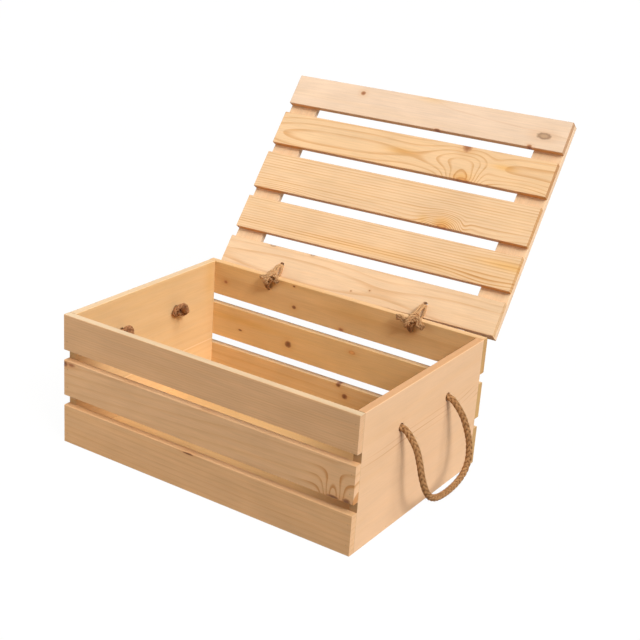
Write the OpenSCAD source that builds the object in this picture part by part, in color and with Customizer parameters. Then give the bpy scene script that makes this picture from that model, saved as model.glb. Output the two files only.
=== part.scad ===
// Slatted pine kindling box with a slatted lid on twine hinges and two rope handles.
// Millimetres. Origin at the middle of the underside, +X to the right end,
// -Y to the front, +Z up. The lid is drawn open, leaning back on its hinges.

/* [Crate] */
// Length over the two ends
crate_l = 500; // [420:5:600]
// Depth over the front and back slats
crate_d = 346; // [300:2:400]
// Height from the underside to the rim
crate_h = 202; // [190:1:240]
// Thickness of the two ends
end_t = 12; // [10:0.5:18]
// Thickness of the front and back slats
side_slat_t = 11.5; // [9:0.5:16]
// Width of the lowest side slats
bottom_slat_w = 60; // [50:1:64]
// Width of the middle side slats
middle_slat_w = 56; // [46:1:60]
// Width of the uppermost side slats
top_slat_w = 55; // [50:1:60]
// Width of the lower board of the left end
left_lower_board_w = 68; // [64:1:80]
// Thickness of the floor panel
floor_t = 7; // [5:0.5:10]
// Bevel that eases the long edges of every slat
edge_ease = 0.8; // [0.3:0.1:1.5]

/* [Lid] */
// How much shorter than the crate the lid is
lid_short = 10; // [0:5:30]
// How far the shut lid reaches past the front slats
lid_overhang = 6; // [0:1:12]
// Thickness of the lid slats
lid_slat_t = 10; // [8:0.5:12]
// Widths of the lid slats, from the hinges to the front
lid_slat_w = [54.5, 57, 65, 58, 53];
// Width of the two battens
batten_w = 49; // [36:1:60]
// Thickness of the battens
batten_t = 10; // [8:0.5:14]
// How far the slack hinges let the lid sit to the right
lid_shift = 4.8; // [0:0.4:6]
// Angle between the shut lid and the open lid as drawn
lid_open = 128.5; // [90:0.5:128.5]

/* [Twine hinges] */
// Distance between the two hinges
hinge_spacing = 260; // [160:5:320]
// Diameter of the hinge twine
twine_d = 4; // [3:0.25:4.5]
// Height of the shut lid above the rim
lid_gap = 0.3; // [0.3:0.1:0.6]
// Depth of the hinge line below the rim
hinge_drop = 4; // [3:0.5:5]
// Distance of the hinge line behind the back slats, at the lid's left end
hinge_setback = 1.5; // [1:0.25:2]
// Angle by which the slacker right-hand hinge turns the hinge line back
hinge_turn = 1; // [0:0.1:1]
// How far the lid reaches behind the hinge line, at its left end
lid_tail = 4; // [4:0.25:7.5]
// Radius of the twine loop that the lid turns on
twine_loop_r = 25.8; // [25:0.1:27]
// Depth of the twine holes in the back slat below the rim
back_hole_drop = 19.5; // [18:0.5:22]

/* [Rope handles] */
// Diameter of the handle rope
rope_d = 10; // [8:0.5:11]
// Distance between the two holes of a handle
rope_hole_spacing = 128; // [110:2:150]
// Height of the rope holes above the underside
rope_hole_z = 146; // [135:1:160]
// Diameter of the rope holes
rope_hole_d = 12.4; // [11.6:0.1:14]
// Thickness of the squeezed rope inside a stopper knot
knot_strand_d = 6; // [5:0.5:8]
// Length of the rope's tail below a stopper knot
knot_tail_l = 13; // [8:1:20]

/* [Brads] */
// Diameter of the brads
brad_d = 1.4; // [1.2:0.1:1.8]
// Diameter of the brad heads
brad_head_d = 2; // [1.9:0.1:2.6]
// Thickness of the brad heads
brad_head_t = 0.6; // [0.4:0.1:1]
// Length of the brads in the crate
crate_brad_l = 25; // [20:1:30]
// Length of the brads in the lid
lid_brad_l = 18; // [16:0.5:19]

/* [Hidden] */

// Colours of the pine, the shaded pine, the rope, the twine and the brads
pine = [0.93, 0.77, 0.56];
pale_pine = [0.96, 0.84, 0.67];
jute = [0.6, 0.43, 0.27];
twine_brown = [0.66, 0.5, 0.33];
steel = [0.72, 0.72, 0.7];

play = 0.3;          // gap between pieces that move past each other
brad_play = 0.05;    // gap round a brad in its hole
brad_sunk = 0.4;     // depth of a brad's head below the wood
eps = 0.01;          // cuts run this far past the faces

// Side slats, from the lowest up: lower edge and width of each
slat_gap = (crate_h - bottom_slat_w - middle_slat_w - top_slat_w) / 2;
side_slat_w = [bottom_slat_w, middle_slat_w, top_slat_w];
side_slat_z = [0, bottom_slat_w + slat_gap, crate_h - top_slat_w];
end_d = crate_d - 2 * side_slat_t;
inside_l = crate_l - 2 * end_t;

// Lid in its shut place, measured from the hinge line at the lid's left end
hinge_y = crate_d / 2 + hinge_setback;
hinge_z = crate_h - hinge_drop;
lid_l = crate_l - lid_short;
lid_d = crate_d + hinge_setback + lid_tail + lid_overhang;
lid_left = lid_shift - lid_l / 2;
lid_face_z = hinge_drop + lid_gap;
lid_top_z = lid_face_z + lid_slat_t;
lid_gap_w = (lid_d - sum(lid_slat_w)) / (len(lid_slat_w) - 1);

// Twine hole in the lid: wide enough for the loop to slide through as the lid turns
loop_near = sqrt(pow(twine_loop_r - twine_d / 2, 2) - pow(lid_top_z, 2));
loop_far = sqrt(pow(twine_loop_r + twine_d / 2, 2) - pow(lid_face_z, 2));
lid_hole_y = (loop_near + loop_far) / 2;
lid_hole_d = loop_far - loop_near + 2 * play;
back_hole_d = twine_d + 2;

// Handle rope: it lies on the bottom of its holes and turns just outside the end
rope_z = rope_hole_z - (rope_hole_d - rope_d) / 2 + play;
rope_turn_x = crate_l / 2 + rope_d / 2 + play;

// Half of a handle's route, from its hole to the middle of the loop:
// out from the turning line, sideways as a share of half the hole spacing, and down
rope_route = [
    [0, 1, 0], [11, 1.01, -9], [21.5, 1.02, -23], [29, 1.04, -41], [34.5, 1.04, -60],
    [38.5, 0.96, -78], [40.5, 0.77, -93], [41, 0.44, -102], [41, 0, -105]
];
rope_steps = 2;      // rings between two points of the route
rope_sides = 10;
twine_sides = 8;
loop_step = 8;       // degrees between the rings of the twine loop
knot_rings = 48;
knot_sides = 6;

function sum(list, i = 0) = i < len(list) ? list[i] + sum(list, i + 1) : 0;

// Smooth line through points p, with n steps between neighbours
function spline_at(a, b, c, d, t) =
    b + t / 2 * ((c - a) + t * ((2 * a - 5 * b + 4 * c - d) + t * (3 * b - a - 3 * c + d)));
function pick(p, i, closed) =
    closed ? p[(i + len(p)) % len(p)] :
    i < 0 ? 2 * p[0] - p[1] :
    i >= len(p) ? 2 * p[len(p) - 1] - p[len(p) - 2] : p[i];
function smooth_line(p, n, closed = false) = [
    for (i = [0 : len(p) - (closed ? 1 : 2)], k = [0 : n - 1])
        spline_at(pick(p, i - 1, closed), p[i], pick(p, i + 1, closed),
                  pick(p, i + 2, closed), k / n),
    if (!closed) p[len(p) - 1]
];
function unit(v) = v / norm(v);
function tangent(p, i, closed) = unit(pick(p, i + 1, closed) - pick(p, i - 1, closed));

// Cross directions of a flat closed line with normal up, or of any line kept off up
function side_of(t, up) = unit(cross(t, up));
function ring(centre, t, up, r, sides) =
    let (a = side_of(t, up), b = cross(a, t))
    [for (k = [0 : sides - 1]) centre + r * (cos(360 * k / sides) * a + sin(360 * k / sides) * b)];

// Tube swept along the line p with radii r; a closed line joins up, an open one is capped
module tube(p, r, sides, up, closed = false) {
    n = len(p);
    points = [for (i = [0 : n - 1]) each ring(p[i], tangent(p, i, closed), up, r[i], sides)];
    bands = closed ? n : n - 1;
    walls = [
        for (i = [0 : bands - 1], k = [0 : sides - 1])
            let (j = (i + 1) % n, m = (k + 1) % sides)
            each [[i * sides + k, j * sides + m, j * sides + k],
                  [i * sides + k, i * sides + m, j * sides + m]]
    ];
    first = [for (k = [1 : sides - 2]) [0, k + 1, k]];
    last = [for (k = [1 : sides - 2]) [(n - 1) * sides, (n - 1) * sides + k, (n - 1) * sides + k + 1]];
    polyhedron(points, closed ? walls : concat(walls, first, last));
}

// Bar along X with its four long edges eased, centred on X and starting at y = 0, z = 0
module eased_bar(length, depth, height) {
    e = edge_ease;
    rotate([90, 0, 90])
        linear_extrude(length, center = true)
            polygon([[e, 0], [depth - e, 0], [depth, e], [depth, height - e],
                     [depth - e, height], [e, height], [0, height - e], [0, e]]);
}

// Brad with its head's top at z = 0, pointing down; its hole runs on up to the wood's face
module brad(length) {
    rotate_extrude()
        polygon([[0, 0], [brad_head_d / 2, 0], [brad_head_d / 2, -brad_head_t],
                 [brad_d / 2, -brad_head_t], [brad_d / 2, -length], [0, -length]]);
}
module brad_hole(length) {
    head_r = brad_head_d / 2 + brad_play;
    shank_r = brad_d / 2 + brad_play;
    rotate_extrude()
        polygon([[0, brad_sunk + eps], [head_r, brad_sunk + eps], [head_r, -brad_head_t - brad_play],
                 [shank_r, -brad_head_t - brad_play], [shank_r, -length - brad_play],
                 [0, -length - brad_play]]);
}

// Places of the brads. Two go through each end of a side slat into the end board's edge.
module at_slat_brads(side, level, ends = [-1, 1]) {
    for (end = ends, share = [0.25, 0.75])
        translate([end * (crate_l - end_t) / 2, side * (crate_d / 2 - brad_sunk),
                   side_slat_z[level] + share * side_slat_w[level]])
            rotate([-side * 90, 0, 0]) children();
}
// Three go through each lowest slat into the floor's edge
module at_floor_side_brads(side) {
    for (share = [-1, 0, 1])
        translate([share * inside_l / 3, side * (crate_d / 2 - brad_sunk), floor_t / 2])
            rotate([-side * 90, 0, 0]) children();
}
// Two go through each end into the floor's edge
module at_floor_end_brads(end) {
    for (share = [-1, 1])
        translate([end * (crate_l / 2 - brad_sunk), share * end_d / 4, floor_t / 2])
            rotate([0, end * 90, 0]) children();
}
// Two go through the batten into each lid slat, set corner to corner
module at_lid_brads(end, slats = [0 : len(lid_slat_w) - 1]) {
    for (i = slats, turn = [-1, 1])
        translate([end * (lid_l - batten_w) / 2 + turn * batten_w / 4,
                   -lid_slat_y(i) - (0.5 + turn * end / 4) * lid_slat_w[i],
                   lid_top_z + batten_t - brad_sunk])
            children();
}

// Side slats
module side_slat(side, level) {
    difference() {
        translate([0, side > 0 ? end_d / 2 : -crate_d / 2, side_slat_z[level]])
            eased_bar(crate_l, side_slat_t, side_slat_w[level]);
        at_slat_brads(side, level) brad_hole(crate_brad_l);
        if (level == 0) at_floor_side_brads(side) brad_hole(crate_brad_l);
        if (level == 2 && side > 0) at_hinges() back_twine_hole();
    }
}
module at_hinges() {
    for (end = [-1, 1]) translate([end * hinge_spacing / 2, 0, 0]) children();
}
module back_twine_hole() {
    translate([0, end_d / 2 - eps, crate_h - back_hole_drop])
        rotate([-90, 0, 0]) cylinder(d = back_hole_d, h = side_slat_t + 2 * eps, $fn = 48);
}
module front_top_slat() { color(pine) side_slat(-1, 2); }
module front_middle_slat() { color(pine) side_slat(-1, 1); }
module front_bottom_slat() { color(pine) side_slat(-1, 0); }
module back_top_slat() { color(pine) side_slat(1, 2); }
module back_middle_slat() { color(pine) side_slat(1, 1); }
module back_bottom_slat() { color(pine) side_slat(1, 0); }

// Ends. A board runs from z = low to z = high; the board at the rim has its top edges eased.
module end_board(end, low, high) {
    e = high < crate_h ? 0 : edge_ease;
    difference() {
        translate([end * (crate_l - end_t) / 2, end_d / 2, low])
            rotate([90, 0, 0])
                linear_extrude(end_d)
                    polygon([[-end_t / 2, 0], [end_t / 2, 0], [end_t / 2, high - low - e],
                             [end_t / 2 - e, high - low], [e - end_t / 2, high - low],
                             [-end_t / 2, high - low - e]]);
        for (level = [0 : 2], side = [-1, 1])
            if (side_slat_z[level] < high && side_slat_z[level] + side_slat_w[level] > low)
                at_slat_brads(side, level, [end]) brad_hole(crate_brad_l);
        if (low == 0) at_floor_end_brads(end) brad_hole(crate_brad_l);
        if (high == crate_h) at_rope_holes(end) rope_hole();
    }
}
module at_rope_holes(end, sides = [-1, 1]) {
    for (side = sides)
        translate([end * crate_l / 2, side * rope_hole_spacing / 2, rope_hole_z])
            rotate([0, end * 90, 0]) children();
}
module rope_hole() {
    translate([0, 0, -end_t - eps]) cylinder(d = rope_hole_d, h = end_t + 2 * eps, $fn = 64);
}
module left_end_upper_board() { color(pale_pine) end_board(-1, left_lower_board_w, crate_h); }
module left_end_lower_board() { color(pale_pine) end_board(-1, 0, left_lower_board_w); }
module right_end_board() { color(pale_pine) end_board(1, 0, crate_h); }

module floor_panel() {
    color(pine) difference() {
        translate([-inside_l / 2, -end_d / 2, 0]) cube([inside_l, end_d, floor_t]);
        for (side = [-1, 1]) {
            at_floor_side_brads(side) brad_hole(crate_brad_l);
            at_floor_end_brads(side) brad_hole(crate_brad_l);
        }
    }
}

module front_brads() { color(steel) for (level = [0 : 2]) at_slat_brads(-1, level) brad(crate_brad_l); }
module back_brads() { color(steel) for (level = [0 : 2]) at_slat_brads(1, level) brad(crate_brad_l); }
module floor_brads() {
    color(steel) for (side = [-1, 1]) {
        at_floor_side_brads(side) brad(crate_brad_l);
        at_floor_end_brads(side) brad(crate_brad_l);
    }
}

// Knots: a strand laid in the three crossing loops of an overhand knot, drawn tight.
// The formula's strands pass each other at knot_pitch, so a scale follows from the strand.
knot_pitch = 1.97;
knot_lobe = 2.4;
knot_rise = 1.6;
knot_slack = 0.5;    // gap left between crossing strands
function knot_scale(d) = (d + knot_slack) / knot_pitch;
function knot_half_t(d) = knot_rise * knot_scale(d) + d / 2;
function knot_reach(d) = (1 + knot_lobe) * knot_scale(d) + d / 2;
function knot_line(d) = [
    for (k = [0 : knot_rings - 1])
        let (t = 360 * k / knot_rings)
        knot_scale(d) * [sin(t) + knot_lobe * sin(2 * t), cos(t) - knot_lobe * cos(2 * t),
                         -knot_rise * sin(3 * t)]
];
// Least gap between two stretches of a closed tube that lie more than 2.2 strands apart
function tube_gap(p, d) = min([
    for (i = [0 : len(p) - 1], j = [i + 1 : 1 : len(p) - 1])
        let (between = min(j - i, len(p) - j + i) * norm(p[1] - p[0]))
        if (between > 2.2 * d) norm(p[i] - p[j]) - d
]);
echo(rope_knot_gap = tube_gap(knot_line(knot_strand_d), knot_strand_d));
echo(twine_knot_gap = tube_gap(knot_line(twine_d), twine_d));

module knot(d) {
    tube(knot_line(d), [for (k = [1 : knot_rings]) d / 2], knot_sides, [0, 0, 1], closed = true);
}

// Stopper knot behind a rope hole, with the rope's run through the hole and its cut tail.
// Drawn with the hole along Z and the end's outer face at z = 0.
module stopper_knot(tail_angle) {
    depth = end_t + play + knot_half_t(knot_strand_d);
    rope_drop = rope_hole_z - rope_z;
    union() {
        translate([0, 0, -depth]) knot(knot_strand_d);
        rotate([0, 0, tail_angle])
            translate([0, knot_reach(knot_strand_d) - knot_strand_d, -depth])
                rotate([-60, 0, 0]) cylinder(d = knot_strand_d + 1, h = knot_tail_l, $fn = 24);
        translate([rope_drop, 0, -depth]) cylinder(d = rope_d, h = depth, $fn = 32);
    }
}
module left_front_knot() { color(jute) at_rope_holes(-1, [-1]) mirror([1, 0, 0]) stopper_knot(-80); }
module left_back_knot() { color(jute) at_rope_holes(-1, [1]) mirror([1, 0, 0]) stopper_knot(-120); }
module right_front_knot() { color(jute) at_rope_holes(1, [-1]) stopper_knot(-100); }
module right_back_knot() { color(jute) at_rope_holes(1, [1]) stopper_knot(-70); }

// Puts things drawn along X, with x kept, on the hinge line turned about the lid's left end
module along_hinge_line() {
    translate([lid_left, 0, 0]) rotate([0, 0, hinge_turn]) translate([-lid_left, 0, 0]) children();
}
function setback(x) = hinge_setback + (x - lid_left) * tan(hinge_turn);

// Twine hinges: a tied loop through the back slat and the lid. Seen along X from the hinge
// line, it is round where the lid's hole slides on it, and closer in on the crate's side,
// where it bends in steps of the twine's own thickness.
hole_z = hinge_drop - back_hole_drop;
twine_knot_z = lid_face_z - play - knot_reach(twine_d) + twine_d / 2;
tail_clear_r = norm([lid_tail, lid_top_z]) + twine_d * 3 / 4 + play;
function inner_y(slat_y) = slat_y - side_slat_t;
function twine_knot_y(slat_y) = inner_y(slat_y) - play - knot_half_t(twine_d);
function polar(r, angle) = [0, r * cos(angle), r * sin(angle)];
function twine_line(slat_y) = concat(
    [for (a = [-75 : 11.5 : -6]) polar(tail_clear_r + (twine_loop_r - tail_clear_r) * (a + 75) / 80, a)],
    [for (a = [4 : loop_step : 180]) polar(twine_loop_r, a)],
    [[0, twine_d / 2 - twine_loop_r, -1.4 * twine_d],
     [0, twine_knot_y(slat_y), -2 * twine_d],
     [0, inner_y(slat_y) - 0.75 * twine_d, hole_z + 0.75 * twine_d],
     [0, inner_y(slat_y) + twine_d / 4, hole_z],
     [0, slat_y - 0.75 * twine_d, hole_z],
     [0, slat_y + 0.4 * twine_d, hole_z - twine_d / 8]]
);
module hinge_twine(end) {
    x = end * hinge_spacing / 2;
    slat_y = -setback(x);
    line = twine_line(slat_y);
    translate([0, hinge_y, hinge_z]) along_hinge_line() translate([x, 0, 0])
        union() {
            tube(line, [for (p = line) twine_d / 2], twine_sides, [1, 0, 0], closed = true);
            translate([0, twine_knot_y(slat_y), twine_knot_z]) {
                rotate([90, 0, 0]) knot(twine_d);
                for (way = [-1, 1])
                    rotate([0, way * 112, 0]) cylinder(d = twine_d, h = knot_reach(twine_d) + twine_d, $fn = 20);
            }
        }
}
module left_hinge_twine() { color(twine_brown) hinge_twine(-1); }
module right_hinge_twine() { color(twine_brown) hinge_twine(1); }

// Lid, drawn shut and square to the crate, and then swung open about the hinge line
module open_lid() {
    translate([lid_left, hinge_y, hinge_z])
        rotate([0, 0, hinge_turn]) rotate([-lid_open, 0, 0]) rotate([0, 0, -hinge_turn])
            translate([-lid_left, 0, 0]) children();
}
// Distance of a lid slat's hinge-side edge in front of the hinge line
function lid_slat_y(i) = i == 0 ? -lid_tail : lid_slat_y(i - 1) + lid_slat_w[i - 1] + lid_gap_w;
module lid_slat(i) {
    color(pale_pine) open_lid() difference() {
        translate([lid_shift, -lid_slat_y(i) - lid_slat_w[i], lid_face_z])
            eased_bar(lid_l, lid_slat_w[i], lid_slat_t);
        translate([lid_shift, 0, 0])
            for (end = [-1, 1]) at_lid_brads(end, [i]) brad_hole(lid_brad_l);
        if (i == 0)
            along_hinge_line() at_hinges() translate([0, -lid_hole_y, lid_face_z - eps])
                cylinder(d = lid_hole_d, h = lid_slat_t + 2 * eps, $fn = 48);
    }
}
module lid_slat_1() { lid_slat(0); }
module lid_slat_2() { lid_slat(1); }
module lid_slat_3() { lid_slat(2); }
module lid_slat_4() { lid_slat(3); }
module lid_slat_5() { lid_slat(4); }

module batten(end) {
    color(pale_pine) open_lid() translate([lid_shift, 0, 0]) difference() {
        translate([end * (lid_l - batten_w) / 2, lid_tail - lid_d / 2, lid_top_z])
            rotate([0, 0, 90]) translate([0, -batten_w / 2, 0]) eased_bar(lid_d, batten_w, batten_t);
        at_lid_brads(end) brad_hole(lid_brad_l);
    }
}
module left_batten() { batten(-1); }
module right_batten() { batten(1); }
module lid_brads() {
    color(steel) open_lid() translate([lid_shift, 0, 0])
        for (end = [-1, 1]) at_lid_brads(end) brad(lid_brad_l);
}

// Rope handle: half the route mirrored, with rounded ends that turn beside the end's face
half_spacing = rope_hole_spacing / 2;
half_line = [for (p = rope_route) [p[0], p[1] * half_spacing, p[2]]];
handle_line = smooth_line(
    concat(half_line, [for (i = [len(half_line) - 2 : -1 : 0])
                           [half_line[i][0], -half_line[i][1], half_line[i][2]]]),
    rope_steps);
handle_end = unit(handle_line[1] - handle_line[0]);
cap_angles = [72, 36];
function cap_centre(p, way, angle) = p - rope_d / 2 * sin(angle) * way;
handle_points = concat(
    [for (a = cap_angles) cap_centre(handle_line[0], handle_end, a)],
    handle_line,
    [for (i = [1, 0]) cap_centre(handle_line[len(handle_line) - 1],
                                 [handle_end[0], -handle_end[1], handle_end[2]], cap_angles[i])]);
handle_radii = concat(
    [for (a = cap_angles) rope_d / 2 * cos(a)],
    [for (p = handle_line) rope_d / 2],
    [for (i = [1, 0]) rope_d / 2 * cos(cap_angles[i])]);
module rope_handle(end) {
    color(jute) translate([end * rope_turn_x, 0, rope_z])
        rotate([0, 0, end > 0 ? 0 : 180])
            tube(handle_points, handle_radii, rope_sides, [1, 0, 0]);
}
function line_length(p, i = 1) = i < len(p) ? norm(p[i] - p[i - 1]) + line_length(p, i + 1) : 0;
echo(handle_rope_length = line_length(handle_line));
module left_rope_handle() { rope_handle(-1); }
module right_rope_handle() { rope_handle(1); }

front_top_slat();
front_middle_slat();
front_bottom_slat();
back_top_slat();
back_middle_slat();
back_bottom_slat();
left_end_upper_board();
left_end_lower_board();
right_end_board();
floor_panel();
front_brads();
back_brads();
floor_brads();
left_front_knot();
left_back_knot();
right_front_knot();
right_back_knot();
left_hinge_twine();
right_hinge_twine();
lid_slat_1();
lid_slat_2();
lid_slat_3();
lid_slat_4();
lid_slat_5();
left_batten();
right_batten();
lid_brads();
left_rope_handle();
right_rope_handle();
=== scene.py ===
"""Looks of the slatted pine kindling box: wood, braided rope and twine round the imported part.

Row frame in metres: origin at the middle of the underside, +X to the right end, -Y to the
front, +Z up. Shapes are worked out in millimetres and stored in metres.
"""

import math

import bpy
import numpy as np
from mathutils import Matrix, Vector


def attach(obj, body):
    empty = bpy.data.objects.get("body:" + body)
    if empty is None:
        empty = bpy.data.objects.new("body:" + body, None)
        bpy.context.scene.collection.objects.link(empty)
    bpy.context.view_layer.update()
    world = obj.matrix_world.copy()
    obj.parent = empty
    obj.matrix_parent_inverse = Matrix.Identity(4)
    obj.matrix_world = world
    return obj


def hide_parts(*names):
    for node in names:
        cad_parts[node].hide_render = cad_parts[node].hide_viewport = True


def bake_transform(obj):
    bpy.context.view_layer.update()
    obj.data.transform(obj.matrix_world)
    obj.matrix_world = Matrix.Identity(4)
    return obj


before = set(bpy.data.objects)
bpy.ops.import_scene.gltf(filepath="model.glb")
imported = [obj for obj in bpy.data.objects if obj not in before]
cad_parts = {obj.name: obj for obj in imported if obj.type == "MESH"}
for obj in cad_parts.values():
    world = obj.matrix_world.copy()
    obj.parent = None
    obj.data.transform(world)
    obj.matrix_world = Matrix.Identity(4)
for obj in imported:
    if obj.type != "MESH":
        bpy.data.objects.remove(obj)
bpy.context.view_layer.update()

MM = 0.001

# Crate and lid, millimetres
CRATE_L = 500
END_T = 12
BACK_SLAT_INSIDE = 161.5
HINGE_Y, HINGE_Z = 174.5, 198       # at the lid's left end, LID_LEFT
LID_LEFT = -240.2
LID_OPEN = math.radians(128.5)
HINGE_TURN = math.radians(1)        # the hinge line runs back towards the right

# Rope handles: as in the part's source
ROPE_D = 10
ROPE_Z = 145.1
ROPE_HOLE_Z = 146
ROPE_TURN_X = 255.3
ROPE_HALF_SPACING = 64
HALF_HANDLE = [
    (0, 1, 0), (11, 1.01, -9), (21.5, 1.02, -23), (29, 1.04, -41), (34.5, 1.04, -60),
    (38.5, 0.96, -78), (40.5, 0.77, -93), (41, 0.44, -102), (41, 0, -105),
]
ROPE_INSIDE = 14        # how far the handle's mesh runs back into its holes
KNOT_ROPE_D = 7         # rope squeezed in a stopper knot
BRAID_PITCH = 32        # length in which a strand of the braid goes once round
BRAID_REACH = 2.85      # middle of a strand to the middle of the rope, halfway over and under
BRAID_WAVE = 0.75       # how far a strand goes out over the others and in under them
BRAID_HALF_WIDTH = 2.05
BRAID_HALF_HEIGHT = 1.3

# Hinge twine
HINGE_SPACING = 260
TWINE_D = 4.3
PAIR_D = 7.2            # width of two twines side by side, as they lie in the hinge knots
TWINE_LAY = 3.4         # turns of the plies, as a length in twine diameters


# ---------------------------------------------------------------- finishes


class Wire:
    """One socket of a finish. Sums written on it add Math nodes."""

    def __init__(self, finish, socket):
        self.finish, self.socket = finish, socket

    def __add__(self, other):
        return self.finish.math("ADD", self, other)

    __radd__ = __add__

    def __sub__(self, other):
        return self.finish.math("SUBTRACT", self, other)

    def __rsub__(self, other):
        return self.finish.math("SUBTRACT", other, self)

    def __mul__(self, other):
        return self.finish.math("MULTIPLY", self, other)

    __rmul__ = __mul__

    def __truediv__(self, other):
        return self.finish.math("DIVIDE", self, other)

    def __pow__(self, other):
        return self.finish.math("POWER", self, other)


class Finish:
    """A material made of nodes, for one piece or for pieces that share it."""

    def __init__(self, name):
        self.material = bpy.data.materials.new(name)
        self.material.use_nodes = True
        self.tree = self.material.node_tree
        self.tree.nodes.clear()

    def node(self, kind, settings=None, sockets=None, output=0):
        """Adds a node: its settings first, then each socket's value or link."""
        made = self.tree.nodes.new("ShaderNode" + kind)
        for name, value in (settings or {}).items():
            setattr(made, name, value)
        for name, value in (sockets or {}).items():
            if isinstance(value, Wire):
                self.tree.links.new(value.socket, made.inputs[name])
            else:
                made.inputs[name].default_value = value
        return Wire(self, made.outputs[output])

    def math(self, operation, *values):
        return self.node("Math", {"operation": operation}, dict(enumerate(values)))

    def vector_math(self, operation, *values, output=0):
        return self.node("VectorMath", {"operation": operation}, dict(enumerate(values)), output)

    def rise(self, value, low, high):
        """0 at low and 1 at high, with soft ends."""
        return self.node("MapRange", {"interpolation_type": "SMOOTHSTEP"},
                         {"Value": value, "From Min": low, "From Max": high})

    def mix(self, amount, first, second, way="MIX"):
        """Goes from the first colour to the second."""
        return self.node("Mix", {"data_type": "RGBA", "blend_type": way},
                         {0: amount, 6: first, 7: second}, output=2)

    def shade(self, colour, brightness):
        return self.node("VectorMath", {"operation": "SCALE"}, {0: colour, "Scale": brightness})

    def tinted(self, colour, shares):
        """The colour with only a share of its red, green and blue left."""
        return self.vector_math("MULTIPLY", colour, shares)

    def seen_plainly(self):
        """1 on rays from the camera, mirrors and glass, 0 on the rays that light things."""
        ray = [self.node("LightPath", output=f"Is {kind} Ray")
               for kind in ("Camera", "Glossy", "Transmission")]
        return self.math("MAXIMUM", ray[0], self.math("MAXIMUM", ray[1], ray[2]))

    def mottle(self, place, size, seed=0.0, detail=2.0):
        """Noise between 0 and 1 with patches of that size, one number or one along each axis."""
        sizes = size if hasattr(size, "__len__") else (size,) * 3
        moved = self.vector_math("MULTIPLY_ADD", place, tuple(1 / s for s in sizes),
                                 (seed, 1.7 * seed, 0.6 * seed))
        return self.node("TexNoise", {"noise_dimensions": "3D"},
                         {"Vector": moved, "Scale": 1.0, "Detail": detail})

    def surface(self, sockets, bumps=None):
        """Ends in a Principled shader. bumps is (height in metres, strength)."""
        if bumps:
            height, strength = bumps
            sockets["Normal"] = self.node(
                "Bump", None, {"Strength": strength, "Distance": 1.0, "Height": height})
        shader = self.node("BsdfPrincipled", None, sockets)
        self.node_output(shader)
        return self.material

    def node_output(self, shader):
        out = self.tree.nodes.new("ShaderNodeOutputMaterial")
        self.tree.links.new(shader.socket, out.inputs["Surface"])


def srgb(red, green, blue):
    """A colour of 0 to 255 as the linear numbers that a socket takes."""
    linear = [c / 12.92 if c <= 0.04045 else ((c + 0.055) / 1.055) ** 2.4
              for c in (v / 255 for v in (red, green, blue))]
    return (*linear, 1.0)


# Boards: directions along the grain, across the board and out of the face the photograph shows
X, Y, Z = np.eye(3)
askew = np.array(Matrix.Rotation(HINGE_TURN, 3, "Z"))
turn = askew @ np.array(Matrix.Rotation(-LID_OPEN, 3, "X")) @ askew.T
SIDE = (X, Z, -Y)
END = (Y, Z, X)
FLOOR = (X, Y, Z)
LID = (turn @ X, turn @ -Y, turn @ -Z)
BATTEN = (turn @ -Y, turn @ X, turn @ -Z)


def board_frame(name, directions):
    """Middle and size of a board, along its own three directions, in millimetres."""
    corners = np.array([v.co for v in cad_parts[name].data.vertices]) / MM
    spans = [corners @ d for d in directions]
    return [(s.min() + s.max()) / 2 for s in spans], [s.max() - s.min() for s in spans]


LATE = (0.76, 0.56, 0.34)       # share of each colour that late wood gives back
GOLD_AND_SHADE_TINT = (0.98, 0.86, 0.58)       # the same on golden resin patches, and on one painted shadow
HALO = (0.90, 0.76, 0.62)       # the same round a knot
KNOT_TONES = {                  # core and rim
    "brown": (srgb(158, 98, 62), srgb(196, 140, 96)),
    "dark": (srgb(112, 66, 40), srgb(156, 100, 62)),
    "grey": (srgb(206, 172, 138), srgb(176, 142, 114)),
    "grey_brown": (srgb(192, 156, 122), srgb(160, 126, 98)),
    "orange": (srgb(226, 164, 96), srgb(204, 138, 78)),
}


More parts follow.
